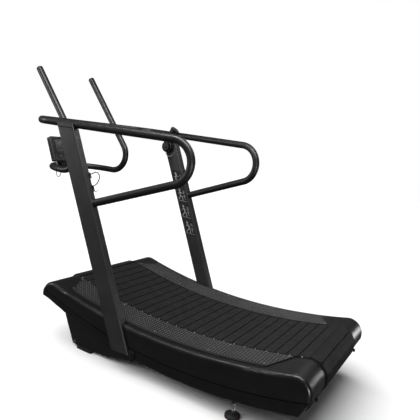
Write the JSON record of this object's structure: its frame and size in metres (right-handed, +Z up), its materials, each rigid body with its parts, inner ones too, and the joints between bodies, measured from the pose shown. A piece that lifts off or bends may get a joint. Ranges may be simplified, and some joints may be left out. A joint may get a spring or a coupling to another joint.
{
  "type": "curved manual treadmill",
  "caption": "Self-powered treadmill with a concave slat belt, leaning uprights, looped handrails, push handles, console and resistance lever.",
  "frame": {"origin": "on the floor under the middle of the machine's outer box", "axes": "+X to the rear of the deck, +Y to the runner's right, +Z up"},
  "size_m": [1.9007, 0.9284, 1.4092],
  "materials": {
    "frame_paint": "satin black powder coat",
    "tube_paint": "satin black powder coat",
    "upright_paint": "fine textured black powder coat",
    "cover_plastic": "moulded black plastic, satin",
    "slat_rubber": "grained dark grey rubber",
    "pad_plate": "diamond tread pattern",
    "black_rubber": "matte black",
    "bright_steel": "bright zinc",
    "machined_steel": "turned",
    "disc_aluminium": "turned",
    "console_plastic": "textured black plastic",
    "screen_plastic": "dark display window",
    "button_rubber": "matte grey",
    "cable_jacket": "black jacket"
  },
  "bodies": {
    "frame": {"brake_cable": "cable_jacket", "console_back": "console_plastic", "console_bracket": "frame_paint", "console_cable": "cable_jacket", "console_face": "console_plastic", "console_screen": "screen_plastic", "drive_belts": "black_rubber", "frame_brackets": "frame_paint", "frame_fasteners": "bright_steel", "frame_tubes": "frame_paint", "front_cover_left": "cover_plastic", "front_cover_right": "cover_plastic", "front_foot_pads": "black_rubber", "front_stand_left": "frame_paint", "front_stand_right": "frame_paint", "handrail_front": "tube_paint", "handrail_left": "tube_paint", "handrail_right": "tube_paint", "lever_housing": "console_plastic", "pad_screws": "bright_steel", "push_bar": "tube_paint", "push_bar_caps": "black_rubber", "rear_guard": "frame_paint", "roller_bearings": "machined_steel", "sensor_cable": "cable_jacket", "side_cover_left": "cover_plastic", "side_cover_right": "cover_plastic", "side_plate_left": "frame_paint", "side_plate_right": "frame_paint", "side_skirt_left": "frame_paint", "side_skirt_right": "frame_paint", "stub_bolts": "bright_steel", "transport_axle": "bright_steel", "tread_pad_left": "pad_plate", "tread_pad_right": "pad_plate", "tread_slats_front": "slat_rubber", "tread_slats_rear": "slat_rubber", "tread_slats_return": "slat_rubber", "tread_slats_top": "slat_rubber", "upright_left": "upright_paint", "upright_right": "upright_paint"},
    "front_roller": {"front_roller": "machined_steel", "brake_disc": "disc_aluminium"},
    "rear_roller": {"rear_roller": "machined_steel"},
    "magnet_carrier": {"magnet_carrier": "frame_paint"},
    "lever": {"resistance_lever": "frame_paint", "lever_knob": "console_plastic"},
    "guide_1": {"guide_bearings_1": "machined_steel"},
    "guide_2": {"guide_bearings_2": "machined_steel"},
    "guide_3": {"guide_bearings_3": "machined_steel"},
    "button_1": {"console_button_1": "button_rubber"},
    "button_2": {"console_button_2": "button_rubber"},
    "button_3": {"console_button_3": "button_rubber"},
    "button_4": {"console_button_4": "button_rubber"},
    "wheel_left": {"transport_wheel_left": "black_rubber"},
    "foot_left": {"rear_foot_left": "black_rubber"},
    "wheel_right": {"transport_wheel_right": "black_rubber"},
    "foot_right": {"rear_foot_right": "black_rubber"}
  },
  "joints": [
    {"name": "front_roller_spin", "type": "hinge", "parent": "frame", "child": "front_roller", "pos_m": [-0.462, 0, 0.23165], "axis": [0, 1, 0], "continuous": true},
    {"name": "rear_roller_spin", "type": "hinge", "parent": "frame", "child": "rear_roller", "pos_m": [0.874, 0, 0.23165], "axis": [0, 1, 0], "continuous": true},
    {"name": "guide_spin_1", "type": "hinge", "parent": "frame", "child": "guide_1", "pos_m": [-0.074, 0, 0.20957], "axis": [0, 1, 0], "continuous": true},
    {"name": "guide_spin_2", "type": "hinge", "parent": "frame", "child": "guide_2", "pos_m": [0.206, 0, 0.1957], "axis": [0, 1, 0], "continuous": true},
    {"name": "guide_spin_3", "type": "hinge", "parent": "frame", "child": "guide_3", "pos_m": [0.486, 0, 0.20957], "axis": [0, 1, 0], "continuous": true},
    {"name": "lever_swing", "type": "hinge", "parent": "frame", "child": "lever", "pos_m": [-0.424, 0.393, 1.043], "axis": [0, 1, 0], "range_deg": [-45, 15]},
    {"name": "magnet_swing", "type": "hinge", "parent": "frame", "child": "magnet_carrier", "pos_m": [-0.379, 0.288, 0.228], "axis": [0, 1, 0], "range_deg": [-9, 3]},
    {"name": "wheel_spin_left", "type": "hinge", "parent": "frame", "child": "wheel_left", "pos_m": [-0.302, -0.366, 0.025], "axis": [0, 1, 0], "continuous": true},
    {"name": "foot_screw_left", "type": "hinge", "parent": "frame", "child": "foot_left", "pos_m": [0.621, -0.382, 0], "axis": [0, 0, 1], "continuous": true},
    {"name": "wheel_spin_right", "type": "hinge", "parent": "frame", "child": "wheel_right", "pos_m": [-0.302, 0.366, 0.025], "axis": [0, 1, 0], "continuous": true},
    {"name": "foot_screw_right", "type": "hinge", "parent": "frame", "child": "foot_right", "pos_m": [0.621, 0.382, 0], "axis": [0, 0, 1], "continuous": true},
    {"name": "button_press_1", "type": "slide", "parent": "frame", "child": "button_1", "axis": [-0.9135, 0, -0.4067], "range_m": [0, 0.0015], "stiffness_N_per_m": 400, "springref_m": -0.0005},
    {"name": "button_press_2", "type": "slide", "parent": "frame", "child": "button_2", "axis": [-0.9135, 0, -0.4067], "range_m": [0, 0.0015], "stiffness_N_per_m": 400, "springref_m": -0.0005},
    {"name": "button_press_3", "type": "slide", "parent": "frame", "child": "button_3", "axis": [-0.9135, 0, -0.4067], "range_m": [0, 0.0015], "stiffness_N_per_m": 400, "springref_m": -0.0005},
    {"name": "button_press_4", "type": "slide", "parent": "frame", "child": "button_4", "axis": [-0.9135, 0, -0.4067], "range_m": [0, 0.0015], "stiffness_N_per_m": 400, "springref_m": -0.0005}
  ],
  "couplings": [
    {"joint": "rear_roller_spin", "follows": "front_roller_spin", "ratio": 1},
    {"joint": "guide_spin_1", "follows": "front_roller_spin", "ratio": 3.8467},
    {"joint": "guide_spin_2", "follows": "front_roller_spin", "ratio": 3.8467},
    {"joint": "guide_spin_3", "follows": "front_roller_spin", "ratio": 3.8467},
    {"joint": "magnet_swing", "follows": "lever_swing", "ratio": 0.2}
  ]
}
